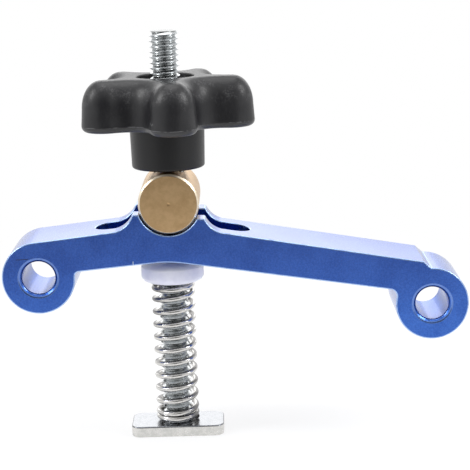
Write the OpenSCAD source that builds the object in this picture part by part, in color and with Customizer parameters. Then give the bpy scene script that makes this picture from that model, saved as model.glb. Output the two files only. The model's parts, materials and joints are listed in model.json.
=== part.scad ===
// T-track hold-down clamp: a T-bolt, a return spring with its bush, a rocking arm,
// the cross barrel that the arm rocks on, and a five-lobe clamping knob.
// Millimetres. +Z runs up the bolt, +X along the arm's long leg, Y across the arm.
// The origin is the middle of the T-head's underside.

/* [T-bolt] */
// Outside diameter of the thread
thread_d = 7.94; // [6:0.01:10]
// Length of the bolt above the T-head
shank_len = 107; // [90:1:130]
// Length of the T-head, across the track
head_len = 25.3; // [18:0.1:32]
// Width of the T-head, along the track
head_w = 12.2; // [10:0.1:16]
// Thickness of the T-head
head_t = 3; // [2:0.1:5]
// Corner radius of the T-head in plan
head_corner = 2.5; // [0.5:0.1:4]
// Chamfer at the bolt's free end
tip_chamfer = 0.5; // [0.3:0.1:1.5]

/* [Spring] */
// Length of the spring as it stands
spring_len = 40; // [30:0.5:50]
// Wire thickness
wire_d = 1.4; // [0.8:0.1:1.8]
// Open coils between the closed ends
open_coils = 9.5; // [6:0.5:12]
// Closed coils at the foot
foot_coils = 1.75; // [1:0.25:3]
// Closed coils at the top
top_coils = 1.25; // [1:0.25:3]

/* [Bush] */
// Outside diameter of the bush
bush_d = 17; // [14:0.1:19]
// Height of the bush at its crown
bush_h = 6.6; // [5:0.1:10]
// Radius of the crowned top that the arm rocks on
crown_r = 16; // [12:0.5:24]
// Rounding of the lower edge
bush_edge = 1.6; // [0.4:0.1:2]

/* [Arm] */
// Width of the arm across the track
arm_w = 20; // [16:0.5:28]
// Depth from the barrel's centre to the peak of the underside
under_drop = 15.4; // [13:0.1:18]
// Depth from the barrel's centre to the peak line of the top
top_drop = 5.5; // [4.5:0.1:6.5]
// Slope of both legs' top
top_slope = 8; // [5:0.5:12]
// Slope of both legs' underside
under_slope = 7; // [4:0.5:10]
// Radius that rounds the peak of the underside
peak_r = 35; // [5:1:60]
// Tilt of the arm as it stands, long leg down
rest_rock = 2; // [0:0.5:4]
// Largest tilt of the arm, either way
rock_limit = 8; // [4:0.5:10]

/* [Arm ends] */
// Radius of both end bosses
boss_r = 9.7; // [8:0.1:12]
// Reach of the short leg's boss from the bolt
heel_reach = 34.4; // [30:0.1:42]
// Reach of the long leg's boss from the bolt
toe_reach = 70.1; // [55:0.1:90]
// How far the long leg's boss sits below a boss flush with the top
toe_sink = 1.3; // [0.6:0.1:3]
// Length of the ramp from the long leg's top onto its boss
toe_ramp = 2.7; // [1:0.1:5]
// Diameter of the cross bores
bore_d = 8.8; // [5:0.1:12]
// Countersink at each mouth of the bores
bore_chamfer = 0.8; // [0.3:0.1:1.2]
// Fillet between the short leg's boss and the underside
heel_fillet = 1.2; // [0.8:0.1:4]
// Fillet between the long leg's boss and the underside
toe_fillet = 2; // [0.8:0.1:4]

/* [Saddle and slot] */
// Height of the short side's horn, below the barrel's centre
heel_horn_drop = 2.9; // [1.5:0.1:4.4]
// Height of the long side's horn, below the barrel's centre
toe_horn_drop = 3.8; // [1.5:0.1:4.4]
// Width of both horns' top, beside the saddle
horn_land = 1.25; // [0.8:0.05:2]
// Fillet between a horn and the leg's top
horn_fillet = 6.5; // [5:0.1:8]
// Length of the slot for the bolt
slot_len = 41.5; // [30:0.5:48]
// Shift of the slot's middle towards the long leg
slot_shift = 0.8; // [-2:0.1:3]

/* [Barrel] */
// Diameter of the barrel
barrel_d = 16; // [14.5:0.1:17]
// Chamfer round both ends of the barrel
barrel_chamfer = 0.5; // [0.2:0.1:1]

/* [Knob] */
// Distance of each lobe's centre from the axis
lobe_reach = 17.4; // [16:0.1:20]
// Radius of each lobe's tip
lobe_r = 6.2; // [6:0.1:7]
// Distance from the axis to the bottom of each hollow
hollow_reach = 14.8; // [13:0.1:16]
// Height of the lobed grip
grip_h = 13.3; // [11:0.1:18]
// How far the rounding of the grip's upper edge reaches in over the top
grip_top_edge = 5.3; // [2:0.1:5.4]
// How far the same rounding reaches down the side
grip_top_fall = 7.4; // [3:0.1:8]
// Rounding of the grip's lower edge
grip_low_edge = 1.6; // [0.5:0.1:2.5]
// Draft of the grip's side, from its foot to its upper edge
grip_draft = 0.3; // [0:0.05:0.5]
// Length of the hub below the grip
hub_len = 10.9; // [6:0.1:16]
// Diameter of the hub at its foot
hub_d = 19.4; // [16:0.1:22]
// Growth of the hub's diameter up to the grip
hub_draft = 0.5; // [0:0.1:1]
// Rounding of the hub's foot
hub_edge = 0.6; // [0.3:0.1:1]
// Diameter of the recess in the top
recess_d = 15.2; // [13:0.1:18]
// Depth of the recess
recess_h = 5; // [2:0.1:8]
// Direction of the first lobe
lobe_turn = -82; // [-90:1:0]

/* [Knob insert] */
// Wall of the threaded insert
insert_wall = 1.47; // [1:0.01:2]
// Length of the insert that shows below the hub
insert_proud = 0.4; // [0.2:0.1:1]
// Chamfer at the insert's ends
insert_chamfer = 0.4; // [0.2:0.1:0.6]

/* [Fits] */
// Radial clearance of the insert and the barrel on the bolt
bolt_fit = 0.06; // [0.02:0.01:0.1]
// Radial clearance of the bush on the bolt
bush_fit = 0.1; // [0.05:0.01:0.3]
// Radial clearance of the spring's coils on the bolt
spring_fit = 0.53; // [0.3:0.01:1]
// Clearance of the slot on each side of the bolt
slot_fit = 0.53; // [0.3:0.01:1]
// Radial clearance of the saddle round the barrel
saddle_gap = 0.3; // [0.15:0.05:0.5]
// Extra depth of the saddle below the barrel
saddle_drop = 0.15; // [0:0.05:0.4]
// Gap between the barrel and the insert above it
press_gap = 0.08; // [0.03:0.01:0.2]
// Gap that is left between the bush's crown and the arm at its largest tilt
rock_clear = 0.22; // [0.1:0.01:0.5]
// Gap between the spring's ends and their seats, and between closed coils
coil_gap = 0.04; // [0.02:0.01:0.1]

/* [Hidden] */
$fn = 64;

// How far cutting tools run past the faces that they cut
past = 1;
// Overlap of pieces that are joined into one solid
bite = 0.5;
// How far a round is sunk past the line that it runs into, so that the two cross
blend = 0.03;

// Diameters that follow the thread
spring_d = thread_d + 2 * (spring_fit + wire_d);
slot_w = thread_d + 2 * slot_fit;
insert_d = thread_d + 2 * (bolt_fit + insert_wall);

// Outer reach of both horns
horn_reach = barrel_d / 2 + saddle_gap + horn_land;

// Depth of the crown below the barrel's centre, where the arm just clears it at its largest tilt
crown_reach = sqrt(pow(crown_r, 2) - pow(slot_w / 2, 2));
crown_drop = (under_drop * cos(under_slope) + crown_reach + rock_clear)
    / cos(under_slope + rock_limit) - crown_r;

// Heights up the bolt
bush_z = head_t + spring_len;
barrel_z = bush_z + bush_h + crown_drop;
insert_z = barrel_z + barrel_d / 2 + press_gap;
hub_z = insert_z + insert_proud;
grip_z = hub_z + hub_len;
knob_top_z = grip_z + grip_h;
recess_z = knob_top_z - recess_h;

// Helix of the spring
coil_r = (spring_d - wire_d) / 2;
closed_pitch = wire_d + coil_gap;
turns = foot_coils + open_coils + top_coils;
open_rise = spring_len - wire_d - 2 * coil_gap - (foot_coils + top_coils) * closed_pitch;
steps_per_turn = 20;
wire_sides = 8;

// Lobed outline of the grip
lobes = 5;
lobe_step = 360 / lobes;
hollow_dir = lobe_step / 2;
lobe_along = lobe_reach * cos(hollow_dir);
hollow_r = (pow(hollow_reach, 2) - 2 * hollow_reach * lobe_along + pow(lobe_reach, 2)
    - pow(lobe_r, 2)) / (2 * (lobe_r + lobe_along - hollow_reach));
hollow_centre = hollow_reach + hollow_r;
meet_dir = atan2(hollow_centre * sin(hollow_dir), hollow_centre * cos(hollow_dir) - lobe_reach);
lobe_steps = 12;
hollow_steps = 7;

// Height along the spring's wire, in turns from its foot
function coil_height(turn) =
    turn < foot_coils ? turn * closed_pitch :
    turn < foot_coils + open_coils ?
        foot_coils * closed_pitch + (turn - foot_coils) / open_coils * open_rise :
    foot_coils * closed_pitch + open_rise + (turn - foot_coils - open_coils) * closed_pitch;

// Rings of points, listed from the bottom up, made into one closed skin
module skin(rings) {
    count = len(rings[0]);
    last = (len(rings) - 1) * count;
    sides = [
        for (ring = [0 : len(rings) - 2], i = [0 : count - 1])
            let (a = ring * count + i, b = ring * count + (i + 1) % count)
                [a, a + count, b + count, b]
    ];
    foot = [for (i = [0 : count - 1]) i];
    head = [for (i = [count - 1 : -1 : 0]) last + i];
    polyhedron([for (ring = rings) each ring], concat([foot], sides, [head]), convexity = 10);
}

// The rectangle of the T-head in plan, with round corners
module rounded_plan(length, width, corner) {
    square([length - 2 * corner, width], center = true);
    square([length, width - 2 * corner], center = true);
    for (x = [-1, 1], y = [-1, 1])
        translate([x * (length / 2 - corner), y * (width / 2 - corner)]) circle(corner);
}

module t_bolt() {
    color("lightsteelblue") {
        linear_extrude(head_t) rounded_plan(head_len, head_w, head_corner);
        translate([0, 0, head_t - bite])
            cylinder(h = shank_len + bite - tip_chamfer, d = thread_d);
        translate([0, 0, head_t + shank_len - tip_chamfer])
            cylinder(h = tip_chamfer, d1 = thread_d, d2 = thread_d - 2 * tip_chamfer);
    }
}

module spring() {
    steps = round(turns * steps_per_turn);
    foot = head_t + coil_gap + wire_d / 2;
    rings = [
        for (step = [0 : steps])
            let (turn = turns * step / steps, dir = 360 * turn)
                [for (side = [0 : wire_sides - 1])
                    let (around = 360 * (side + 0.5) / wire_sides,
                        out = coil_r + wire_d / 2 * cos(around))
                        [out * cos(dir), out * sin(dir),
                            foot + coil_height(turn) + wire_d / 2 * sin(around)]]
    ];
    color("silver") skin(rings);
}

// Half section of the bush, from its axis outwards
module bush_section() {
    radius = bush_d / 2;
    intersection() {
        union() {
            square([radius - bush_edge, bush_h]);
            translate([0, bush_edge]) square([radius, bush_h]);
            translate([radius - bush_edge, bush_edge]) circle(bush_edge);
        }
        translate([0, bush_h - crown_r]) circle(crown_r);
    }
}

module spring_bush() {
    color("ghostwhite") translate([0, 0, bush_z]) rotate_extrude() difference() {
        bush_section();
        translate([-past, -past])
            square([thread_d / 2 + bush_fit + past, bush_h + 2 * past]);
    }
}

// Height of the legs' top and underside at a distance from the bolt
function top_at(x) = -top_drop - x * tan(top_slope);
function under_at(x) = -under_drop - x * tan(under_slope);
// Height of a boss whose round runs into the leg's top
function flush_boss(reach) = top_at(reach) - (boss_r - blend) / cos(top_slope);

// A shape drawn in the arm's side view, carried across the arm
module across(width = arm_w) {
    rotate([90, 0, 0]) linear_extrude(width, center = true) children();
}

// A round in the arm's side view, carried right across with room to cut
module across_round(centre, radius) {
    across(arm_w + 2 * past) translate(centre) circle(radius);
}

// Fillet between the underside and a boss, below both
module under_fillet(centre, fillet_r) {
    along = [cos(under_slope), -sin(under_slope)];
    down = [-sin(under_slope), -cos(under_slope)];
    start = [0, -under_drop];
    from_boss = start + fillet_r * down - centre;
    reach = boss_r + fillet_r;
    travel = -from_boss * along
        - sqrt(pow(from_boss * along, 2) - from_boss * from_boss + pow(reach, 2));
    middle = start + travel * along + fillet_r * down;
    in_leg = middle - (fillet_r + bite) * down;
    in_boss = centre + (boss_r - bite) / reach * (middle - centre);
    foot = start + ((centre - start) * along) * along;
    difference() {
        across() polygon([middle, in_leg, foot - bite * down, in_boss]);
        across_round(middle, fillet_r + blend);
    }
}

// One leg with its boss, towards +X from the bolt
module leg(reach, sink, ramp, fillet_r) {
    centre = [reach, flush_boss(reach) - sink];
    top_end = ramp > 0 ?
        [[reach - ramp, top_at(reach - ramp)], centre + [0, boss_r - bite]] :
        [[reach + boss_r * sin(top_slope), top_at(reach + boss_r * sin(top_slope))]];
    across() polygon(concat(
        [[-bite, under_at(0) + bite], [-bite, top_at(0) - bite], [0, top_at(0)]],
        top_end, [centre, [reach, under_at(reach)], [0, under_at(0)]]));
    across() translate(centre) circle(boss_r);
    under_fillet(centre, fillet_r);
}

// Half of the block that holds the saddle, with the horn's outer fillet
module horn(drop) {
    slope = tan(top_slope);
    lift = -top_drop + horn_fillet / cos(top_slope) + drop;
    half_b = horn_reach + slope * lift;
    grade = 1 + pow(slope, 2);
    middle_x = (half_b + sqrt(pow(half_b, 2)
        - grade * (pow(horn_reach, 2) + pow(lift, 2) - pow(horn_fillet, 2)))) / grade;
    middle = [middle_x, top_at(middle_x) + horn_fillet / cos(top_slope)];
    foot = middle - horn_fillet * [sin(top_slope), cos(top_slope)];
    difference() {
        across() polygon([[-bite, under_at(0) + bite], [-bite, -drop], [horn_reach, -drop],
            middle, foot - [0, bite]]);
        across_round(middle, horn_fillet + blend);
    }
}

// Round peak of the underside, where both legs meet over the bush
module peak_round() {
    reach = peak_r * sin(under_slope);
    difference() {
        across() polygon([[-reach, under_at(reach)], [-reach, under_at(reach) + bite],
            [0, under_at(0) + bite], [reach, under_at(reach) + bite],
            [reach, under_at(reach)]]);
        across_round([0, under_at(0) - peak_r / cos(under_slope)], peak_r + blend,
            $fn = 180);
    }
}

heel_centre = [-heel_reach, flush_boss(heel_reach)];
toe_centre = [toe_reach, flush_boss(toe_reach) - toe_sink];

// The arm before its slot is cut, with the barrel's centre at the origin
module bar() {
    difference() {
        union() {
            mirror([1, 0, 0]) leg(heel_reach, 0, 0, heel_fillet);
            leg(toe_reach, toe_sink, toe_ramp, toe_fillet);
            mirror([1, 0, 0]) horn(heel_horn_drop);
            horn(toe_horn_drop);
            peak_round();
        }
        across_round([0, -saddle_drop], barrel_d / 2 + saddle_gap);
    }
}

// Cutter for a bore across the arm, countersunk at both mouths
module bore(centre) {
    across_round(centre, bore_d / 2);
    for (side = [0, 1])
        mirror([0, side, 0])
            translate([centre[0], arm_w / 2 + past, centre[1]]) rotate([90, 0, 0])
                cylinder(h = bore_chamfer + past, d1 = bore_d + 2 * (bore_chamfer + past),
                    d2 = bore_d);
}

// Cutter for the slot that the bolt passes through
module slot() {
    reach = (slot_len - slot_w) / 2;
    low = under_at(slot_len) - past;
    translate([slot_shift, 0, low]) {
        translate([-reach, -slot_w / 2, 0]) cube([2 * reach, slot_w, -low]);
        for (x = [-reach, reach]) translate([x, 0, 0]) cylinder(h = -low, d = slot_w);
    }
}

module arm() {
    color("royalblue") translate([0, 0, barrel_z]) rotate([0, rest_rock, 0])
        difference() {
            bar();
            slot();
            for (centre = [heel_centre, toe_centre]) bore(centre);
        }
}

module barrel() {
    radius = barrel_d / 2;
    color("darkkhaki") translate([0, 0, barrel_z]) difference() {
        rotate([90, 0, 0]) rotate_extrude() polygon([
            [0, -arm_w / 2], [radius - barrel_chamfer, -arm_w / 2],
            [radius, -arm_w / 2 + barrel_chamfer], [radius, arm_w / 2 - barrel_chamfer],
            [radius - barrel_chamfer, arm_w / 2], [0, arm_w / 2]]);
        cylinder(h = barrel_d + 2 * past, d = thread_d + 2 * bolt_fit, center = true);
    }
}

// Points of the grip's outline, moved inwards, at one height
function grip_ring(inset, z) = [
    for (lobe = [0 : lobes - 1])
        let (dir = lobe_turn + lobe * lobe_step, gap = dir + hollow_dir)
            each concat(
                [for (step = [0 : lobe_steps - 1])
                    let (around = dir + meet_dir * (2 * step / lobe_steps - 1))
                        [lobe_reach * cos(dir) + (lobe_r - inset) * cos(around),
                            lobe_reach * sin(dir) + (lobe_r - inset) * sin(around), z]],
                [for (step = [0 : hollow_steps - 1])
                    let (swing = meet_dir + 180 - hollow_dir,
                        around = gap + 180 + (swing - 180) * (1 - 2 * step / hollow_steps))
                        [hollow_centre * cos(gap) + (hollow_r + inset) * cos(around),
                            hollow_centre * sin(gap) + (hollow_r + inset) * sin(around), z]])
];

// The lobed grip's side, from its rounded lower edge to its rounded upper edge, run on past both
module grip_side() {
    low_steps = 3;
    top_steps = 6;
    low = [
        for (step = [0 : low_steps])
            let (a = 90 * step / low_steps)
                grip_ring(grip_low_edge * (1 - sin(a)), grip_z + grip_low_edge * (1 - cos(a)))
    ];
    high = [
        for (step = [0 : top_steps])
            let (a = 90 * step / top_steps)
                grip_ring(grip_draft + (grip_top_edge - grip_draft) * (1 - cos(a)),
                    knob_top_z - grip_top_fall * (1 - sin(a)))
    ];
    skin(concat([grip_ring(grip_low_edge, grip_z - bite)], low, high,
        [grip_ring(grip_top_edge, knob_top_z + bite)]));
}

// The grip, with its side cut off flat at the top and at the foot
module grip() {
    reach = lobe_reach + lobe_r + past;
    difference() {
        grip_side();
        for (z = [grip_z - 2 * bite - past, knob_top_z])
            translate([0, 0, z]) cylinder(h = 2 * bite + past, r = reach);
    }
}

// The hub, a drafted cylinder with a rounded foot
module hub() {
    foot_r = hub_d / 2;
    translate([0, 0, hub_z]) rotate_extrude() {
        polygon([[0, hub_edge], [foot_r, hub_edge], [foot_r + hub_draft / 2, hub_len],
            [foot_r + hub_draft / 2, hub_len + bite], [0, hub_len + bite]]);
        square([foot_r - hub_edge, 2 * hub_edge]);
        translate([foot_r - hub_edge, hub_edge]) intersection() {
            circle(hub_edge);
            translate([0, -hub_edge]) square(hub_edge);
        }
    }
}

module knob() {
    color("dimgray") difference() {
        union() {
            grip();
            hub();
        }
        translate([0, 0, recess_z]) cylinder(h = recess_h + past, d = recess_d);
        translate([0, 0, hub_z - past]) cylinder(h = recess_z - hub_z + 2 * past, d = insert_d);
    }
}

module knob_insert() {
    radius = insert_d / 2;
    bore = thread_d / 2 + bolt_fit;
    color("gainsboro") rotate_extrude() polygon([
        [bore, insert_z], [radius - insert_chamfer, insert_z], [radius, insert_z + insert_chamfer],
        [radius, recess_z - insert_chamfer], [radius - insert_chamfer, recess_z],
        [bore, recess_z]]);
}

t_bolt();
spring();
spring_bush();
arm();
barrel();
knob();
knob_insert();
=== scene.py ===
# %% [markdown]
# This lesson dresses a T-track hold-down clamp: a threaded T-bolt stands in a spring,
# a blue arm rocks on a brass cross barrel, and a five-lobe knob screws down on it.
# The solids come packed from the CAD model, in metres, each already in its place.
# The script keeps their sizes and gives every piece the edges, thread, grain and
# finish that the real one shows.

import json
import math

import bmesh
import bpy
from mathutils import Matrix, Vector


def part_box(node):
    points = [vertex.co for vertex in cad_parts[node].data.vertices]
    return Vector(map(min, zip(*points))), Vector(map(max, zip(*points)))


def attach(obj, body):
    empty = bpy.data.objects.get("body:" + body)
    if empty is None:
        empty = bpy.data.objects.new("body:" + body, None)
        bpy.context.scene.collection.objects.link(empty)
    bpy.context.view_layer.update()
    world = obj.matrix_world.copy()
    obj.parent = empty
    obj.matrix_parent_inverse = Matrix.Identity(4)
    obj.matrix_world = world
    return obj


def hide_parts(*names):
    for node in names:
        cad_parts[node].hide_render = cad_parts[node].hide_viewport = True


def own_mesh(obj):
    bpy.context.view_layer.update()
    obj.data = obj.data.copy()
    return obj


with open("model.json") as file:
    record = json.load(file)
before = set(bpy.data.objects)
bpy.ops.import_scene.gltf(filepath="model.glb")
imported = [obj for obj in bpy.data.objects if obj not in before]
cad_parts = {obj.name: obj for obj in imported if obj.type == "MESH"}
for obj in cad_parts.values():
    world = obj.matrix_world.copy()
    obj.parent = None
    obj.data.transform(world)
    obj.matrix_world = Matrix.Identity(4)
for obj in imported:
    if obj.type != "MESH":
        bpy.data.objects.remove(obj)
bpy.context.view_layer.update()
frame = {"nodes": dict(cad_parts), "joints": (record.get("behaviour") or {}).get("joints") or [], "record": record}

MM = 0.001

# %% [markdown]
# The camera stands where the photograph was taken from: a little above the clamp,
# looking down by about twelve degrees, and tilted slightly sideways. It comes first,
# so that every later step can be looked at through it. The three directions below are
# the camera's own right, up and backwards, written out as the columns of its matrix.

# %% Set up the camera
PITCH = 0.21505
YAW = -0.003537
ROLL = -0.029467
CAMERA_PLACE = Vector((18.537, -380.503, 137.825)) * MM

forward = Vector((math.sin(YAW) * math.cos(PITCH), math.cos(YAW) * math.cos(PITCH),
                  -math.sin(PITCH)))
level = Vector((math.cos(YAW), -math.sin(YAW), 0))
upward = level.cross(forward)
right = level * math.cos(ROLL) + upward * math.sin(ROLL)
up = upward * math.cos(ROLL) - level * math.sin(ROLL)

bpy.ops.object.select_all(action="DESELECT")
bpy.ops.object.camera_add()
camera = bpy.context.object
camera.name = "photo_camera"
camera.data.lens = 110.58
camera.data.sensor_width = 36
camera.data.clip_start = 0.01
camera.data.clip_end = 20
turn = Matrix((right, up, -forward)).transposed().to_4x4()
camera.matrix_world = Matrix.Translation(CAMERA_PLACE) @ turn
bpy.context.scene.camera = camera
print("camera stands at", [round(v / MM, 1) for v in camera.location], "mm")

# %% [markdown]
# A few steps come back for every piece. Blender's operators act on whatever is
# selected, so each piece starts from an empty selection, and faces or edges are then
# picked by where they are or which way they face. Edit mode also remembers whether
# points, edges or faces were picked last, so each edit goes back to points. Writing
# those steps once as small helpers keeps the cells about the pieces themselves.

# %% Helpers for picking and finishing
def nothing_selected():
    if bpy.context.object and bpy.context.object.mode != "OBJECT":
        bpy.ops.object.mode_set(mode="OBJECT")
    bpy.ops.object.select_all(action="DESELECT")


def only(piece):
    nothing_selected()
    piece.select_set(True)
    bpy.context.view_layer.objects.active = piece


def edit(piece):
    only(piece)
    bpy.ops.object.mode_set(mode="EDIT")
    bpy.ops.mesh.select_mode(type="VERT")
    bpy.ops.mesh.select_all(action="SELECT")


def pick(piece, kind, test):
    """In edit mode, selects the faces or edges that pass the test."""
    bpy.ops.mesh.select_mode(type={"faces": "FACE", "edges": "EDGE"}[kind])
    bpy.ops.mesh.select_all(action="DESELECT")
    mesh = bmesh.from_edit_mesh(piece.data)
    for part in getattr(mesh, kind):
        part.select_set(bool(test(part)))
    bmesh.update_edit_mesh(piece.data)


def middle(part):
    """The middle of a face or an edge."""
    return sum((v.co for v in part.verts), Vector()) / len(part.verts)


def apply_all(piece):
    only(piece)
    for modifier in list(piece.modifiers):
        bpy.ops.object.modifier_apply(modifier=modifier.name)


def round_edges(piece, width, steps=3, angle=30):
    """Rounds every edge that is sharper than the angle, and marks the new faces."""
    for slot in range(2):
        piece.data.materials.append(None)
    rounding = piece.modifiers.new("rounding", "BEVEL")
    rounding.width = width
    rounding.segments = steps
    rounding.limit_method = "ANGLE"
    rounding.angle_limit = math.radians(angle)
    rounding.use_clamp_overlap = False
    rounding.material = 1
    apply_all(piece)
    mark = piece.data.attributes.new("rounded_edge", "FLOAT", "FACE")
    for face, value in zip(piece.data.polygons, mark.data):
        value.value = face.material_index
    piece.data.materials.clear()


def combine(piece, tool, operation):
    """Joins, cuts or crosses a piece with another solid, which is used up."""
    step = piece.modifiers.new("combine", "BOOLEAN")
    step.operation = operation
    step.solver = "EXACT"
    step.object = tool
    apply_all(piece)
    bpy.data.objects.remove(tool)


def settle(piece, name, angle=32):
    """Names a finished piece, points its faces outwards and smooths what is round.

    The weighted normals keep a large flat face flat right up to its rounded edges.
    """
    edit(piece)
    bpy.ops.mesh.remove_doubles(threshold=0.0005 * MM)
    bpy.ops.mesh.normals_make_consistent(inside=False)
    only(piece)
    bpy.ops.object.transform_apply(location=True, rotation=True, scale=True)
    bpy.ops.object.shade_smooth_by_angle(angle=math.radians(angle))
    flat = piece.modifiers.new("flat", "WEIGHTED_NORMAL")
    flat.mode = "FACE_AREA"
    flat.weight = 100
    flat.keep_sharp = True
    apply_all(piece)
    piece.name = piece.data.name = name
    piece.data.calc_loop_triangles()
    print(f"{name}: {len(piece.data.loop_triangles)} triangles")
    return piece


print("helpers ready")

# %% [markdown]
# Many of the clamp's pieces are turned on a lathe. On screen a turned piece grows the
# same way: a circle is extruded upwards and scaled from point to point along the
# profile. A profile that comes back to its first point makes a ring, and one with open
# ends gets a flat face at each end.

# %% A helper that turns a profile
def turned(profile, sides=128):
    """A solid of revolution about Z from (radius, height) points in millimetres."""
    nothing_selected()
    radius, height = profile[0]
    closed = profile[0] == profile[-1]
    bpy.ops.mesh.primitive_circle_add(vertices=sides, radius=radius * MM,
                                      fill_type="NOTHING" if closed else "NGON",
                                      location=(0, 0, height * MM))
    piece = bpy.context.object
    bpy.ops.object.transform_apply(location=True)
    edit(piece)
    for next_radius, next_height in profile[1:]:
        bpy.ops.mesh.extrude_region_move(
            TRANSFORM_OT_translate={"value": (0, 0, (next_height - height) * MM)})
        if not math.isclose(next_radius, radius):
            share = next_radius / radius
            bpy.ops.transform.resize(value=(share, share, 1), center_override=(0, 0, 0))
        radius, height = next_radius, next_height
    bpy.ops.mesh.select_all(action="SELECT")
    bpy.ops.mesh.remove_doubles(threshold=0.0005 * MM)
    bpy.ops.mesh.normals_make_consistent(inside=False)
    only(piece)
    return piece


print("ready to turn")

# %% [markdown]
# The bolt's thread is one groove that climbs 1.411 mm in every turn. Only one tooth of
# it is drawn, as a chain of points, and the Screw modifier sweeps that tooth round and
# up the bolt. The turns meet edge to edge, so merging the doubles closes the wall. This
# is far quicker than cutting a groove, and the tooth keeps its true sixty degrees.

# %% Sweep the thread
PITCH_MM = 25.4 / 18
CREST = 7.94 / 2
ROOT = CREST - 0.6134 * PITCH_MM
HEAD_TOP = 3.0
BOLT_TOP = 110.0
TIP_CHAMFER = 0.5
THREAD_DROP = 0.15

tooth = [(ROOT + 0.03, 0), (ROOT, 0.07), (ROOT, 0.17), (ROOT + 0.03, 0.235),
         (CREST - 0.04, 0.72), (CREST, 0.77), (CREST, 0.87), (CREST - 0.04, 0.925),
         (ROOT + 0.03, PITCH_MM)]

nothing_selected()
bpy.ops.mesh.primitive_plane_add(size=MM)
bolt = bpy.context.object
edit(bolt)
bpy.ops.mesh.merge(type="CENTER")
bpy.ops.transform.translate(
    value=(tooth[0][0] * MM, 0, (HEAD_TOP - 2 * PITCH_MM - THREAD_DROP) * MM))
for here, there in zip(tooth, tooth[1:]):
    bpy.ops.mesh.extrude_vertices_move(TRANSFORM_OT_translate={
        "value": ((there[0] - here[0]) * MM, 0, (there[1] - here[1]) * MM)})
only(bolt)
sweep = bolt.modifiers.new("sweep", "SCREW")
sweep.angle = 2 * math.pi
sweep.screw_offset = PITCH_MM * MM
sweep.iterations = 80
sweep.steps = sweep.render_steps = 32
sweep.use_merge_vertices = False
apply_all(bolt)
edit(bolt)
bpy.ops.mesh.remove_doubles(threshold=0.001 * MM)
bpy.ops.mesh.normals_make_consistent(inside=False)
print("one tooth swept", sweep is not None, "turns: 80")

# %% [markdown]
# The swept wall starts and ends in a step, so both ends are cut off flat and filled.
# The free end of a real bolt is chamfered before the thread is rolled, so the thread
# fades out there: crossing it with a turned blank does the same.

# %% Cut the thread to length and chamfer its tip
bpy.ops.mesh.bisect(plane_co=(0, 0, (HEAD_TOP - 0.3) * MM), plane_no=(0, 0, 1),
                    clear_inner=True, use_fill=True)
bpy.ops.mesh.select_all(action="SELECT")
bpy.ops.mesh.bisect(plane_co=(0, 0, (BOLT_TOP + 0.2) * MM), plane_no=(0, 0, 1),
                    clear_outer=True, use_fill=True)
blank = turned([(4.6, HEAD_TOP - 0.8), (4.6, BOLT_TOP - TIP_CHAMFER),
                (CREST, BOLT_TOP - TIP_CHAMFER), (CREST - TIP_CHAMFER, BOLT_TOP)], sides=64)
combine(bolt, blank, "INTERSECT")
print("thread faces:", len(bolt.data.polygons))

# %% [markdown]
# The T-head is a flat forged bar with rounded corners. A cube takes its size, its four
# upright edges are rounded first and by more, and a small rounding of all the other
# edges then catches the light as the plated steel does. Joining it to the thread makes
# the bolt one piece.

# %% Forge the T-head
head_low, head_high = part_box("t_bolt")
nothing_selected()
bpy.ops.mesh.primitive_cube_add(size=1, location=(0, 0, HEAD_TOP / 2 * MM))
head = bpy.context.object
head.scale = (head_high[0] - head_low[0], head_high[1] - head_low[1], HEAD_TOP * MM)
bpy.ops.object.transform_apply(location=True, scale=True)
edit(head)
pick(head, "edges", lambda e: abs((e.verts[0].co - e.verts[1].co).z) > 2 * MM)
bpy.ops.mesh.bevel(offset=2.5 * MM, segments=10, affect="EDGES")
only(head)
round_edges(head, 0.35 * MM, steps=4, angle=40)
combine(bolt, head, "UNION")
settle(bolt, "threaded_t_bolt", angle=28)
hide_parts("t_bolt")
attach(bolt, "t_bolt")

# %% [markdown]
# The spring is a wire circle carried round the bolt. Its ends are closed: the first and
# last turns lie against each other, and only the turns between them stand open. Each
# stretch has its own climb, so each is one Screw sweep of the same circle, and the
# stretches are then welded where they meet.

# %% Wind the spring
WIRE = 1.4
COIL_RADIUS = 5.2
COIL_GAP = 0.04
SPRING_TURN = 0
SPRING_FOOT, SPRING_LENGTH = HEAD_TOP, 40.0
FOOT_TURNS, OPEN_TURNS, TOP_TURNS = 1.75, 9.5, 1.25
STEPS_A_TURN = 36

closed_climb = WIRE + COIL_GAP
open_rise = (SPRING_LENGTH - WIRE - 2 * COIL_GAP
             - (FOOT_TURNS + TOP_TURNS) * closed_climb)


def stretch(start_turn, turns, height, rise):
    """One stretch of the spring: a wire circle swept round and up the bolt."""
    nothing_selected()
    bpy.ops.mesh.primitive_circle_add(vertices=20, radius=WIRE / 2 * MM,
                                      rotation=(math.pi / 2, 0, 0),
                                      location=(COIL_RADIUS * MM, 0, height * MM))
    wire = bpy.context.object
    bpy.ops.object.transform_apply(location=True, rotation=True)
    wire.data.transform(Matrix.Rotation(2 * math.pi * start_turn, 4, "Z"))
    sweep = wire.modifiers.new("sweep", "SCREW")
    sweep.angle = 2 * math.pi * turns
    sweep.screw_offset = rise * MM
    sweep.steps = sweep.render_steps = round(STEPS_A_TURN * turns)
    apply_all(wire)
    return wire


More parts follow.
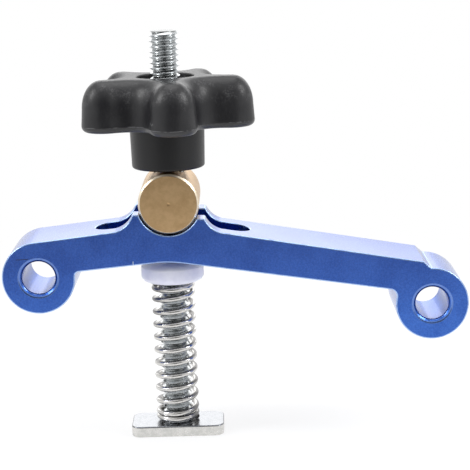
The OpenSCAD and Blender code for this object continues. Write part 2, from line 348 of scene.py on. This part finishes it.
foot_height = SPRING_FOOT + COIL_GAP + WIRE / 2
open_height = foot_height + FOOT_TURNS * closed_climb
top_height = open_height + open_rise
start = SPRING_TURN / 360
parts = [stretch(start, FOOT_TURNS, foot_height, FOOT_TURNS * closed_climb),
         stretch(start + FOOT_TURNS, OPEN_TURNS, open_height, open_rise),
         stretch(start + FOOT_TURNS + OPEN_TURNS, TOP_TURNS, top_height,
                 TOP_TURNS * closed_climb)]
nothing_selected()
for part in parts:
    part.select_set(True)
bpy.context.view_layer.objects.active = parts[0]
bpy.ops.object.join()
spring = bpy.context.object
edit(spring)
bpy.ops.mesh.remove_doubles(threshold=0.003 * MM)
pick(spring, "edges", lambda e: e.is_boundary)
bpy.ops.mesh.edge_face_add()
print("open pitch:", round(open_rise / OPEN_TURNS, 3), "mm; boundary edges filled")

# %% [markdown]
# The spring is looser than the bolt by half a millimetre a side, so a real one never
# stands quite straight: its foot sits a little to one side and its top to the other.
# Moving every point sideways by its own height leans the coils as the real ones do.

# %% Lean and finish the spring
FOOT_LEAN, TOP_LEAN = 0.42, -0.46
for point in spring.data.vertices:
    share = (point.co.z / MM - SPRING_FOOT) / SPRING_LENGTH
    point.co.x += (FOOT_LEAN + (TOP_LEAN - FOOT_LEAN) * share) * MM
settle(spring, "closed_end_spring", angle=40)
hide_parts("spring")
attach(spring, "t_bolt")
lift = next(j for j in frame["joints"] if j["name"] == "lift")
shortest = 1 - max(abs(v) for v in lift["range_m"]) / (SPRING_LENGTH * MM)
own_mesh(spring)
print("at the end of its travel the spring keeps", round(shortest, 3), "of its length")

# %% [markdown]
# The nylon bush caps the spring and presses up under the arm. It is a short turned
# sleeve: a rounded lower edge, a straight side and a crowned top that lets the arm rock.
# All its edges are soft, because nylon can't hold a sharp one.

# %% Turn the bush
bush_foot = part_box("spring_bush")[0].z / MM
BUSH_RADIUS = 8.5
BUSH_BORE = 4.07
CROWN_RADIUS = 16

apex = bush_foot + 6.6
crown_points = [(r, apex - CROWN_RADIUS + math.sqrt(CROWN_RADIUS ** 2 - r ** 2))
                for r in (8.2, 7.4, 6.4, 5.4, 4.5)]
rim = apex - CROWN_RADIUS + math.sqrt(CROWN_RADIUS ** 2 - 8.5 ** 2)
bush_profile = ([(BUSH_BORE, bush_foot + 0.3), (BUSH_BORE + 0.3, bush_foot)]
                + [(BUSH_RADIUS - 1.6 + 1.6 * math.sin(math.radians(a)),
                    bush_foot + 1.6 - 1.6 * math.cos(math.radians(a)))
                   for a in range(0, 91, 15)]
                + [(BUSH_RADIUS, rim - 0.25), (8.42, rim - 0.05)] + crown_points
                + [(BUSH_BORE + 0.05, apex - 0.62), (BUSH_BORE, apex - 0.8),
                   (BUSH_BORE, bush_foot + 0.3)])
bush = turned(bush_profile, sides=96)
settle(bush, "nylon_bush", angle=40)
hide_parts("spring_bush")
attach(bush, "spring_bush")

# %% [markdown]
# The arm is sawn off an extruded bar and milled, so its faces are exact and only its
# edges are eased. The CAD solid has all of that shape already. A copy of it is merged
# from loose triangles, its flat faces are made whole again, and a narrow rounding runs
# along every edge. The rounding's faces are marked, and the finish paints thin light
# lines on them: a painted highlight that makes the arm read as anodised metal.

# %% Ease the arm's edges
def copy_of(node):
    """A copy of a CAD solid, free of the frame, with its flat faces made whole."""
    source = frame["nodes"][node]
    piece = source.copy()
    piece.data = source.data.copy()
    bpy.context.collection.objects.link(piece)
    for key in list(piece.keys()):
        del piece[key]
    piece.parent = None
    piece.matrix_world = Matrix.Identity(4)
    piece.data.materials.clear()
    edit(piece)
    bpy.ops.mesh.customdata_custom_splitnormals_clear()
    bpy.ops.mesh.remove_doubles(threshold=0.002 * MM)
    bpy.ops.mesh.dissolve_limited(angle_limit=math.radians(0.3), delimit=set())
    only(piece)
    return piece


arm = copy_of("arm")
print("faces before rounding:", len(arm.data.polygons))
round_edges(arm, 0.34 * MM, steps=3, angle=35)
settle(arm, "anodised_arm", angle=30)
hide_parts("arm")
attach(arm, "arm")

# %% [markdown]
# The barrel is a short brass rod, faced and chamfered at both ends, with a cross-hole
# for the bolt. It is turned upright at the origin, cut there, then laid down along Y and
# lifted to its place.

# %% Turn the brass barrel
barrel_low, barrel_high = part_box("barrel")
barrel_middle = (barrel_low + barrel_high) / 2
barrel_radius = (barrel_high.x - barrel_low.x) / 2 / MM
half = (barrel_high.y - barrel_low.y) / 2 / MM
CHAMFER = 0.5
rod = turned([(0.35, -half + 0.05), (0.5, -half), (barrel_radius - CHAMFER - 0.06, -half),
              (barrel_radius - CHAMFER + 0.03, -half + 0.03),
              (barrel_radius - 0.03, -half + CHAMFER - 0.03),
              (barrel_radius, -half + CHAMFER + 0.06),
              (barrel_radius, half - CHAMFER - 0.06),
              (barrel_radius - 0.03, half - CHAMFER + 0.03),
              (barrel_radius - CHAMFER + 0.03, half - 0.03),
              (barrel_radius - CHAMFER - 0.06, half), (0.5, half), (0.35, half - 0.05)],
             sides=160)
edit(rod)
bpy.ops.transform.rotate(value=math.pi / 2, orient_axis="X", center_override=(0, 0, 0))
only(rod)
hole = turned([(4.03, -12), (4.03, 12)], sides=96)
combine(rod, hole, "DIFFERENCE")
rod.location = barrel_middle
settle(rod, "brass_barrel", angle=25)
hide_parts("barrel")
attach(rod, "barrel")

# %% [markdown]
# The knob is moulded in black plastic. Seen from above its outline is five round lobes
# joined by five round hollows that run into each other without a corner. A circle with
# many points is pulled out onto those arcs: the lobes' own arcs are drawn from the reach
# and the radius of a lobe, and the hollow's radius follows from the two having to touch.

# %% Draw the knob's outline
LOBES = 5
LOBE_REACH, LOBE_RADIUS, HOLLOW_REACH = 17.4, 6.2, 14.8
LOBE_TURN = -82
half_step = math.pi / LOBES
lobe_along = LOBE_REACH * math.cos(half_step)
hollow_radius = ((HOLLOW_REACH ** 2 - 2 * HOLLOW_REACH * lobe_along + LOBE_REACH ** 2
                  - LOBE_RADIUS ** 2) / (2 * (LOBE_RADIUS + lobe_along - HOLLOW_REACH)))
hollow_middle = HOLLOW_REACH + hollow_radius
meet = math.atan2(hollow_middle * math.sin(half_step),
                  hollow_middle * math.cos(half_step) - LOBE_REACH)
LOBE_POINTS, HOLLOW_POINTS = 30, 18


def outline_point(index):
    """One point of the outline, in millimetres."""
    lobe, step = divmod(index, LOBE_POINTS + HOLLOW_POINTS)
    facing = math.radians(LOBE_TURN) + 2 * half_step * lobe
    if step < LOBE_POINTS:
        way = facing + meet * (2 * step / LOBE_POINTS - 1)
        reach, size = LOBE_REACH, LOBE_RADIUS
    else:
        facing += half_step
        swing = meet - half_step
        way = facing + math.pi + swing * (1 - 2 * (step - LOBE_POINTS) / HOLLOW_POINTS)
        reach, size = hollow_middle, hollow_radius
    return Vector((reach * math.cos(facing) + size * math.cos(way),
                   reach * math.sin(facing) + size * math.sin(way), 0))


print("radius of the hollows:", round(hollow_radius, 2), "mm")

# %% [markdown]
# The grip is widest at the line where the two halves of its mould met, a little above
# its foot. The outline is laid there and extruded. Each end is then inset again and
# again, a step in and a step along, and the steps follow a quarter of an ellipse: that
# rounds the edge by the same amount everywhere, in the lobes and in the hollows alike.

# %% Mould the grip
knob_low, knob_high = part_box("knob")
HUB_FOOT, KNOB_TOP = knob_low.z / MM, knob_high.z / MM
GRIP_HEIGHT, DRAFT = 13.3, 0.3
TOP_REACH, TOP_FALL, LOW_EDGE = 5.0, 7.4, 1.6
GRIP_FOOT = KNOB_TOP - GRIP_HEIGHT
PARTING = GRIP_FOOT + LOW_EDGE
RECESS_FLOOR = KNOB_TOP - 5.0

nothing_selected()
count = LOBES * (LOBE_POINTS + HOLLOW_POINTS)
bpy.ops.mesh.primitive_circle_add(vertices=count, radius=20 * MM, fill_type="NGON")
grip = bpy.context.object
for point in grip.data.vertices:
    point.co = outline_point(point.index) * MM
    point.co.z = PARTING * MM
edit(grip)
bpy.ops.mesh.extrude_region_move(
    TRANSFORM_OT_translate={"value": (0, 0, 0.05 * MM)})
bpy.ops.mesh.select_all(action="SELECT")
bpy.ops.mesh.normals_make_consistent(inside=False)


def quarter(reach, fall, steps):
    """Steps in and along that follow a quarter of an ellipse."""
    turns = [math.pi / 2 * step / steps for step in range(steps + 1)]
    return [(reach * (math.cos(here) - math.cos(there)),
             fall * (math.sin(there) - math.sin(here)))
            for here, there in zip(turns, turns[1:])]


wall = GRIP_HEIGHT - LOW_EDGE - TOP_FALL - 0.05
for upward, steps in ((True, [(DRAFT, wall)] + quarter(TOP_REACH, TOP_FALL, 14)),
                      (False, quarter(LOW_EDGE, LOW_EDGE, 6))):
    pick(grip, "faces", lambda f: abs(f.normal.z) > 0.99
         and (middle(f).z > (PARTING + 0.02) * MM) == upward)
    for inward, along in steps:
        bpy.ops.mesh.inset(thickness=inward * MM, depth=along * MM, use_even_offset=True)
only(grip)
print("outline points:", count, "faces:", len(grip.data.polygons))

# %% [markdown]
# Below the grip stands a plain hub with a soft foot, and in the middle of the top is a
# round recess with a small lip, where the insert and the bolt show. Both are turned
# profiles: the hub is joined to the grip, and the recess is cut out of it.

# %% Add the hub and cut the recess
hub = turned([(5.5, HUB_FOOT), (9.1, HUB_FOOT)]
             + [(9.1 + 0.6 * math.sin(math.radians(a)),
                 HUB_FOOT + 0.6 - 0.6 * math.cos(math.radians(a))) for a in (25, 50, 75, 90)]
             + [(9.93, GRIP_FOOT - 0.45), (10.05, GRIP_FOOT - 0.15), (10.4, GRIP_FOOT + 0.02),
                (10.4, GRIP_FOOT + 1), (5.5, GRIP_FOOT + 1)], sides=144)
combine(grip, hub, "UNION")
recess = turned([(5.5, HUB_FOOT - 1), (5.5, RECESS_FLOOR), (7.3, RECESS_FLOOR),
                 (7.53, RECESS_FLOOR + 0.25), (7.6, KNOB_TOP - 0.5)]
                + [(8.1 - 0.5 * math.cos(math.radians(a)),
                    KNOB_TOP - 0.5 + 0.5 * math.sin(math.radians(a))) for a in (30, 60, 88)]
                + [(8.12, KNOB_TOP + 1)], sides=144)
combine(grip, recess, "DIFFERENCE")
settle(grip, "lobed_knob", angle=25)
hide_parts("knob")
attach(grip, "knob")

# %% [markdown]
# The knob grips the bolt with a threaded metal insert that is moulded in. Only its two
# ends show: one a hair below the hub, the other at the bottom of the recess.

# %% Turn the insert
insert_low, insert_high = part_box("knob_insert")
insert_foot, insert_top = insert_low.z / MM, insert_high.z / MM
insert = turned([(4.03, insert_foot + 0.25), (4.3, insert_foot), (5.1, insert_foot),
                 (5.49, insert_foot + 0.39), (5.49, insert_top - 0.39), (5.1, insert_top),
                 (4.3, insert_top), (4.03, insert_top - 0.25), (4.03, insert_foot + 0.25)],
                sides=96)
settle(insert, "threaded_insert", angle=25)
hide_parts("knob_insert")
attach(insert, "knob")

# %% [markdown]
# Each finish is worked out from the piece's own coordinates, in metres, so the grain
# and the tool marks stay at their real size and move with the piece. The sums read like
# ordinary Python: a small class stands for a value that changes over the surface, and
# adding or multiplying it lays down the Math node that does so.

# %% A small language for finishes
class Spread:
    """A number that varies over the surface."""

    def __init__(self, finish, socket):
        self.finish, self.socket = finish, socket

    def sum(self, operation, first, second):
        return self.finish.node("ShaderNodeMath", {"operation": operation}, first, second)

    def __add__(self, other):
        return self.sum("ADD", self, other)

    def __radd__(self, other):
        return self.sum("ADD", other, self)

    def __sub__(self, other):
        return self.sum("SUBTRACT", self, other)

    def __rsub__(self, other):
        return self.sum("SUBTRACT", other, self)

    def __mul__(self, other):
        return self.sum("MULTIPLY", self, other)

    def __rmul__(self, other):
        return self.sum("MULTIPLY", other, self)

    def __pow__(self, other):
        return self.sum("POWER", self, other)

    def size(self):
        return self.finish.node("ShaderNodeMath", {"operation": "ABSOLUTE"}, self)

    def wave(self):
        return self.finish.node("ShaderNodeMath", {"operation": "SINE"}, self)

    def step(self, low, high, to_low=0.0, to_high=1.0):
        """A soft step from to_low to to_high as the number goes from low to high."""
        return self.finish.node("ShaderNodeMapRange", {"interpolation_type": "SMOOTHSTEP"},
                                self, low, high, to_low, to_high)


class Finish:
    """One material, with the nodes that work it out."""

    def __init__(self, name):
        self.material = bpy.data.materials.new(name)
        self.material.use_nodes = True
        self.tree = self.material.node_tree
        self.shader = self.tree.nodes["Principled BSDF"]
        self.place = self.tree.nodes.new("ShaderNodeTexCoord").outputs["Object"]

    def set(self, socket, value):
        if isinstance(value, Spread):
            value = value.socket
        if isinstance(value, bpy.types.NodeSocket):
            self.tree.links.new(value, socket)
        else:
            socket.default_value = value

    def node(self, kind, settings, *values, output=0, **named):
        """Any node: its settings first, then its sockets in order or by name."""
        node = self.tree.nodes.new(kind)
        for key, value in settings.items():
            setattr(node, key, value)
        for socket, value in zip(node.inputs, values):
            self.set(socket, value)
        for key, value in named.items():
            self.set(node.inputs[key.replace("_", " ")], value)
        return Spread(self, node.outputs[output])

    def axis(self, name):
        """How far a point is along X, Y or Z, in millimetres."""
        split = self.node("ShaderNodeSeparateXYZ", {}, self.place, output="XYZ".index(name))
        return split * (1 / MM)

    def marked(self, name):
        """A number that was stored on the mesh itself."""
        return self.node("ShaderNodeAttribute", {"attribute_name": name},
                         output=2)

    def stretched(self, x=1, y=1, z=1):
        """The point's place, scaled by its own factor along each axis."""
        return self.node("ShaderNodeVectorMath", {"operation": "MULTIPLY"}, self.place,
                         (x, y, z)).socket

    def noise(self, grain_mm, detail=2.0, rough=0.5, place=None):
        """Cloudy values around a half, with features about grain_mm across."""
        return self.node("ShaderNodeTexNoise", {}, Vector=place or self.place,
                         Scale=1 / (grain_mm * MM), Detail=detail, Roughness=rough)

    def scratch(self, start, end, width, front):
        """A short mark between two points (X, Z), on what lies further out than front."""
        length = math.dist(start, end)
        east, north = (end[0] - start[0]) / length, (end[1] - start[1]) / length
        right, rise = self.axis("X") - start[0], self.axis("Z") - start[1]
        past = (right * east + rise * north - length / 2).size()
        beside = (rise * east - right * north).size()
        return ((1 - past.step(length / 2 - width, length / 2))
                * (1 - beside.step(width * 0.3, width))
                * (1 - self.axis("Y").step(front - 0.1, front)))

    def blend(self, share, first, second):
        """A colour between two colours."""
        node = self.tree.nodes.new("ShaderNodeMix")
        node.data_type = "RGBA"
        for socket, value in ((node.inputs[0], share), (node.inputs[6], first),
                              (node.inputs[7], second)):
            if isinstance(value, tuple):
                value = (*value, 1.0)
            self.set(socket, value)
        return node.outputs[2]

    def bump(self, height, depth_mm, strength=1.0):
        node = self.tree.nodes.new("ShaderNodeBump")
        node.inputs["Strength"].default_value = strength
        node.inputs["Distance"].default_value = depth_mm * MM
        self.set(node.inputs["Height"], height)
        self.set(self.shader.inputs["Normal"], node.outputs["Normal"])

    def coat(self, piece, **inputs):
        """Sets the shader's sockets and puts the material on the piece."""
        for key, value in inputs.items():
            if isinstance(value, tuple):
                value = (*value, 1.0)
            self.set(self.shader.inputs[key.replace("_", " ")], value)
        piece.data.materials.clear()
        piece.data.materials.append(self.material)
        print(self.material.name, "has", len(self.tree.nodes), "nodes")


print("ready to mix finishes")

# %% [markdown]
# Blue anodising is a clear, hard, dyed skin on bright aluminium: a coloured metal below
# with a thin clear coat above. The coat is why the arm's top turns almost white when it
# is seen at a low angle. Thin light lines are painted on the eased edges round the bosses
# and along the underside: a painted highlight, kept weaker round the bores. The faces
# carry fine lines from the extrusion and a speckle from the etching bath, the arm is a
# little lighter towards the bottom, the drilled bores are rougher, and use has left a few
# small marks.

# %% Blue anodised aluminium
blue = Finish("blue_anodised_aluminium")
across, along, height = blue.axis("X"), blue.axis("Y"), blue.axis("Z")
cloud = blue.noise(9.0, detail=3)
speckle = blue.noise(0.45, detail=3, rough=0.7)
lines = blue.noise(0.12, detail=2, place=blue.stretched(y=0.02))
grain = blue.noise(0.16, detail=2)
scratches = blue.scratch((-40.7, 51.85), (-37.4, 51.95), 0.16, -9.8)
nicks = (blue.scratch((-9.9, 49.2), (-9.85, 50.6), 0.12, -9.8)
         + blue.scratch((28.6, 56.8), (29.5, 56.7), 0.2, -9.8)
         + blue.scratch((23.9, 56.6), (24.3, 56.5), 0.18, -9.8))
# Painted highlight: the faces of the rounded edges are painted lighter, unevenly, and less so round the bores.
painted_edge_highlight = blue.marked("rounded_edge") * blue.noise(1.5, detail=3).step(0.25, 0.5, 0.55, 1.0)
drilled = 0.0
for mount in frame["record"]["mounts"]:
    if mount["kind"] == "bore":
        east, north = (across - mount["pos_m"][0] / MM), (height - mount["pos_m"][2] / MM)
        from_bore = (east * east + north * north) ** 0.5
        painted_edge_highlight = painted_edge_highlight * from_bore.step(6.0, 6.6, 0.3, 1.0)
        drilled = drilled + (1 - from_bore.step(4.5, 4.8))
uneven = cloud.step(0.35, 0.65) * 0.4 + speckle.step(0.35, 0.65) * 0.6
# The colour follows height: lighter below 26 mm, darker above 52 mm.
skin = blue.blend(height.step(26, 52), blue.blend(uneven, (0.014, 0.096, 0.47),
                                                  (0.044, 0.170, 0.65)),
                  blue.blend(uneven, (0.008, 0.068, 0.37), (0.032, 0.124, 0.54)))
skin = blue.blend(painted_edge_highlight * 0.85, skin, (0.42, 0.60, 0.95))
skin = blue.blend(nicks, blue.blend(scratches, skin, (0.01, 0.02, 0.09)), (0.65, 0.78, 0.95))
blue.bump(lines * 0.5 + grain * 0.5 - scratches * 2, 0.004)
blue.coat(arm, Base_Color=skin, Metallic=1.0,
          Roughness=grain.step(0.3, 0.7, 0.27, 0.35) + drilled * 0.08,
          Coat_Weight=0.7, Coat_Roughness=0.12, Coat_IOR=1.5)

# %% [markdown]
# The barrel is plain brass. Its end faces carry the fine rings of the facing tool, and
# its round side the closer rings of the turning tool. The two need different sums, so a
# mask on the distance along Y tells the end faces from the side.

# %% Turned brass
brass = Finish("turned_brass")
centre_z = barrel_middle.z / MM
across, along, height = brass.axis("X"), brass.axis("Y"), brass.axis("Z")
radius = (across ** 2 + (height - centre_z) * (height - centre_z)) ** 0.5
drift = brass.noise(3.0, detail=2)
on_end = along.size().step(half - 0.1, half - 0.02)
rings = (radius * 18 + drift * 3).wave() * on_end
turning = (along * 26 + drift * 2).wave() * (1 - on_end)
patina = brass.noise(2.2, detail=5, rough=0.65)
pores = brass.noise(0.22, detail=2)
# Painted highlight: the chamfer round each end face is painted a light cream.
painted_rim_highlight = (radius.step(barrel_radius - CHAMFER - 0.1, barrel_radius - CHAMFER + 0.1)
              * along.size().step(half - CHAMFER - 0.1, half - CHAMFER + 0.1))
brass.bump(rings * 0.35 + turning * 0.25 + pores * 0.6, 0.004)
brass.coat(rod,
           Base_Color=brass.blend(painted_rim_highlight * 0.8, brass.blend(patina.step(0.3, 0.7),
                                                                (0.55, 0.36, 0.18),
                                                                (0.66, 0.45, 0.24)),
                                  (0.93, 0.84, 0.68)),
           Metallic=1.0, Roughness=pores.step(0.3, 0.7, 0.3, 0.42))

# %% [markdown]
# The knob's black plastic has the fine sparked grain of its mould on the grip, while the
# hub is smoother. A hairline runs round the grip where the two mould halves met, with
# pale flash left on it here and there. The lobes' shoulders are a little greyer in
# patches on the tops of the grain: partly scuffing from handling, partly a painted sheen.
# Below the hairline the grip's lower edge is painted lighter, a painted reflection of the
# paper under it.

# %% Grained black plastic
black = Finish("grained_black_plastic")
height = black.axis("Z")
on_grip = height.step(GRIP_FOOT - 0.4, GRIP_FOOT + 0.2)
grain = black.noise(0.42, detail=3, rough=0.6)
flow = black.noise(7.0, detail=2)
# Painted reflection: the grip's lower edge, below the parting line, is painted lighter.
painted_lower_edge_light = on_grip * (1 - height.step(PARTING - 0.3, PARTING))
seam = 1 - (height - PARTING).size().step(0.03, 0.12)
flash = seam * black.noise(2.5, detail=4).step(0.42, 0.6)
# Painted sheen mixed with real scuffing: grey patches on the lobes' shoulders.
shoulder_sheen_band = height.step(PARTING + 3, KNOB_TOP - 4) * (1 - height.step(KNOB_TOP - 1, KNOB_TOP))
scuffs_and_sheen = (shoulder_sheen_band * black.noise(4.0, detail=4, rough=0.7).step(0.42, 0.62)
          * (grain.step(0.35, 0.65) * 0.45 + 0.05))
scuffs_and_sheen = (scuffs_and_sheen + black.scratch((-3.9, 88.9), (-2.7, 87.7), 0.16, -19)
          + black.scratch((-2.7, 88.4), (-2.5, 87.9), 0.16, -19) + flash).step(0, 1)
black.bump(grain * (on_grip * 0.9 + 0.1) + flash * 2.0, 0.034)
skin = black.blend(on_grip, (0.004, 0.004, 0.005),
                   black.blend(flow.step(0.3, 0.7), (0.009, 0.009, 0.011),
                               (0.018, 0.018, 0.020)))
skin = black.blend(painted_lower_edge_light * 0.6, skin, (0.045, 0.045, 0.047))
black.coat(grip,
           Base_Color=black.blend(scuffs_and_sheen, skin, (0.12, 0.12, 0.125)),
           Roughness=grain.step(0.3, 0.7, 0.34, 0.44) - flash * 0.12,
           Specular_IOR_Level=0.43)

# %% [markdown]
# The bolt is bright zinc plate, a little blue on the thread and plainer on the head.
# Plating is never even, so its tint and its gloss both wander slightly. The roots of the
# thread are darker, partly because the plate is thinnest there and oil and dust gather
# there, partly as painted shade deep in the thread: the distance from the axis says how
# deep in the thread a point is. The sawn tip and the head's rounded upper edge are
# painted dark, a painted shade that outlines the bolt against white paper, and the
# head's flat top is painted darker too.

# %% Zinc plate on the bolt
zinc = Finish("bright_zinc_plate")
across, along, height = zinc.axis("X"), zinc.axis("Y"), zinc.axis("Z")
cloud = zinc.noise(1.6, detail=4, rough=0.6)
grain = zinc.noise(0.25, detail=2)
# Painted shade together with real dirt: the thread is darker towards its roots.
depth = ((across * across + along * along) ** 0.5).step(ROOT + 0.05, CREST - 0.05)
thread_tint = zinc.blend(cloud.step(0.35, 0.65), (0.56, 0.585, 0.60), (0.72, 0.735, 0.745))
thread_tint = zinc.blend(depth, (0.51, 0.53, 0.535), thread_tint)
# Painted shade: the chamfered tip is painted dark.
painted_tip_shade = height.step(BOLT_TOP - TIP_CHAMFER, BOLT_TOP - 0.2)
thread_tint = zinc.blend(painted_tip_shade, thread_tint, (0.26, 0.27, 0.27))
head_tint = zinc.blend(cloud.step(0.35, 0.65), (0.60, 0.60, 0.575), (0.74, 0.73, 0.705))
# Painted shade: the head's rounded upper edge is painted dark.
painted_head_edge_shade = height.step(HEAD_TOP - 0.40, HEAD_TOP - 0.30)
head_tint = zinc.blend(painted_head_edge_shade * 0.8, head_tint, (0.16, 0.17, 0.19))
# Painted shade: the head's flat top is painted darker than its sides.
head_tint = zinc.blend(height.step(HEAD_TOP - 0.04, HEAD_TOP - 0.01), head_tint,
                       zinc.blend(cloud.step(0.35, 0.65), (0.34, 0.35, 0.37),
                                  (0.44, 0.45, 0.47)))
zinc.bump(grain, 0.006)
zinc.coat(bolt,
          Base_Color=zinc.blend(height.step(HEAD_TOP + 0.02, HEAD_TOP + 0.1), head_tint,
                                thread_tint),
          Metallic=1.0, Roughness=cloud.step(0.3, 0.7, 0.2, 0.3))

# %% [markdown]
# The spring's wire was drawn before it was plated, so it is smoother and brighter than
# the bolt. Dark, duller lines are painted along the wire's upper and lower side, a painted
# dark reflection. Those two sides are the ones straight above and below the middle of
# the wire, so the distance from the coil's own axis finds them.

# %% Spring wire
wire_finish = Finish("plated_spring_wire")
across, along, height = (wire_finish.axis("X"), wire_finish.axis("Y"),
                         wire_finish.axis("Z"))
lean = (height - SPRING_FOOT) * ((TOP_LEAN - FOOT_LEAN) / SPRING_LENGTH) + FOOT_LEAN
across = across - lean
off_middle = (across * across + along * along) ** 0.5 - COIL_RADIUS
streak = wire_finish.noise(0.5, detail=3, place=wire_finish.stretched(z=3))
# Painted dark reflection: dark lines along the top and bottom of the wire.
painted_dark_lines = (1 - (off_middle - 0.1).size().step(0.26, 0.5)) * streak.step(0.2, 0.5, 0.4, 1.0)
wire_finish.bump(streak, 0.004)
wire_finish.coat(spring,
                 Base_Color=wire_finish.blend(
                     painted_dark_lines * 0.85,
                     wire_finish.blend(streak.step(0.3, 0.7), (0.58, 0.57, 0.55),
                                       (0.76, 0.75, 0.73)), (0.13, 0.125, 0.125)),
                 Metallic=1.0, Roughness=streak.step(0.3, 0.7, 0.14, 0.24) + painted_dark_lines * 0.1)

# %% [markdown]
# The insert has the same plate as the bolt, over the fine rings of the lathe.

# %% Plated insert
insert_finish = Finish("plated_insert")
cloud = insert_finish.noise(1.2, detail=3)
rings = (insert_finish.axis("Z") * 20).wave()
insert_finish.bump(rings * 0.3 + cloud, 0.004)
insert_finish.coat(insert,
                   Base_Color=insert_finish.blend(cloud.step(0.3, 0.7), (0.64, 0.66, 0.68),
                                                  (0.76, 0.77, 0.78)),
                   Metallic=1.0, Roughness=cloud.step(0.3, 0.7, 0.22, 0.32))

# %% [markdown]
# Nylon lets a little light in below its surface. The bush is near white with a cool,
# faintly violet cast, slightly mottled, and has a soft sheen. Its crown is painted paler,
# painted light that lifts the shade under the arm. The light under its skin spreads
# evenly in all colours.

# %% Milky nylon
nylon = Finish("milky_nylon")
mottle = nylon.noise(1.8, detail=3)
nylon.bump(nylon.noise(0.5, detail=2), 0.006)
# Painted light: the crown is painted paler against the shade under the arm.
painted_crown_light = nylon.axis("Z").step(rim - 0.5, rim + 0.3)
nylon.shader.inputs["Subsurface Radius"].default_value = (1, 1, 1)
nylon.coat(bush,
           Base_Color=nylon.blend(painted_crown_light, nylon.blend(mottle.step(0.3, 0.7),
                                                        (0.69, 0.70, 0.83),
                                                        (0.74, 0.75, 0.87)),
                                  (0.94, 0.94, 0.99)),
           Roughness=mottle.step(0.3, 0.7, 0.36, 0.44), Subsurface_Weight=0.9,
           Subsurface_Scale=0.003)

# %% [markdown]
# The clamp stands on a sheet of white paper that curves up behind it. To the camera and
# in reflections the paper is plain white. Close to the clamp a part of it is shaded as
# ordinary matt paper, so the clamp keeps its soft shadow. The paper ends in front of
# the clamp, as it does on a table: past its edge metal mirrors the darker room.

# %% Floor and backdrop
PAPER_EDGE, PAPER_DEPTH, PAPER_WIDTH = -0.34, 2.0, 3.0
nothing_selected()
bpy.ops.mesh.primitive_plane_add(size=1)
sweep = bpy.context.object
sweep.name = "white_sweep"
sweep.scale = (PAPER_WIDTH, PAPER_DEPTH - PAPER_EDGE, 1)
sweep.location.y = (PAPER_DEPTH + PAPER_EDGE) / 2
bpy.ops.object.transform_apply(location=True, scale=True)
edit(sweep)
pick(sweep, "edges", lambda e: middle(e).y > PAPER_DEPTH - 0.1)
bpy.ops.mesh.extrude_region_move(TRANSFORM_OT_translate={"value": (0, 0, 2)})
pick(sweep, "edges", lambda e: middle(e).y > PAPER_DEPTH - 0.1 and abs(middle(e).z) < 0.01)
bpy.ops.mesh.bevel(offset=0.6, segments=12, affect="EDGES")
only(sweep)
bpy.ops.object.shade_smooth()

paper = Finish("white_paper")
rays = paper.tree.nodes.new("ShaderNodeLightPath")
seen = (Spread(paper, rays.outputs["Is Camera Ray"])
        + Spread(paper, rays.outputs["Is Glossy Ray"])
        + Spread(paper, rays.outputs["Is Transmission Ray"])).step(0, 1)
east, north = paper.axis("X"), paper.axis("Y")
away = ((east * east + north * north) ** 0.5).step(60, 260, 0.72, 1.0)
glow = paper.tree.nodes.new("ShaderNodeEmission")
glow.inputs["Color"].default_value = (1, 1, 1, 1)
glow.inputs["Strength"].default_value = 1.0
both = paper.tree.nodes.new("ShaderNodeMixShader")
paper.tree.links.new((seen * away).socket, both.inputs[0])
paper.tree.links.new(paper.shader.outputs["BSDF"], both.inputs[1])
paper.tree.links.new(glow.outputs["Emission"], both.inputs[2])
paper.tree.links.new(both.outputs["Shader"],
                     paper.tree.nodes["Material Output"].inputs["Surface"])
paper.coat(sweep, Base_Color=(0.95, 0.95, 0.95), Roughness=0.9, Specular_IOR_Level=0.0)

# %% [markdown]
# The light is that of a white tent with an opening in front, where the camera looks in.
# That dark opening is what gives bright metal its dark middle. The world carries the
# tent: its strength depends only on how far a direction points to the front. The camera
# itself sees plain white past the paper, and large soft lamps carry the rest.

# %% World and lamps
world = bpy.data.worlds.new("studio")
bpy.context.scene.world = world
world.use_nodes = True
tree = world.node_tree
tent = tree.nodes["Background"]
tent.inputs["Color"].default_value = (1, 1, 1, 1)
place = tree.nodes.new("ShaderNodeTexCoord")
split = tree.nodes.new("ShaderNodeSeparateXYZ")
tree.links.new(place.outputs["Generated"], split.inputs[0])
opening = tree.nodes.new("ShaderNodeMapRange")
opening.interpolation_type = "SMOOTHSTEP"
tree.links.new(split.outputs["Y"], opening.inputs[0])
for socket, value in zip(opening.inputs[1:5], (-0.92, -0.72, 0.05, 0.8)):
    socket.default_value = value
tree.links.new(opening.outputs[0], tent.inputs["Strength"])
plain = tree.nodes.new("ShaderNodeBackground")
plain.inputs["Color"].default_value = (1, 1, 1, 1)
rays = tree.nodes.new("ShaderNodeLightPath")
both = tree.nodes.new("ShaderNodeMixShader")
tree.links.new(rays.outputs["Is Camera Ray"], both.inputs[0])
tree.links.new(tent.outputs[0], both.inputs[1])
tree.links.new(plain.outputs[0], both.inputs[2])
tree.links.new(both.outputs[0], tree.nodes["World Output"].inputs["Surface"])


def softbox(name, place, width, height, power):
    """A flat lamp that faces the clamp's middle."""
    nothing_selected()
    bpy.ops.object.light_add(type="AREA", location=place)
    lamp = bpy.context.object
    lamp.name = name
    lamp.data.shape = "RECTANGLE"
    lamp.data.size, lamp.data.size_y = width, height
    lamp.data.energy = power
    facing = Vector((0, 0, 0.06)) - Vector(place)
    lamp.rotation_euler = facing.to_track_quat("-Z", "Y").to_euler()
    return lamp


softbox("lamp_above", (0.0, 0.1, 0.8), 0.6, 0.6, 2.2)
softbox("lamp_left", (-0.62, -0.12, 0.50), 0.18, 0.3, 2.0)
softbox("lamp_right", (0.62, -0.12, 0.50), 0.18, 0.3, 2.0)
softbox("lamp_behind", (0.0, 0.9, 0.42), 1.4, 0.4, 2.1)
bpy.context.scene.view_settings.view_transform = "Standard"
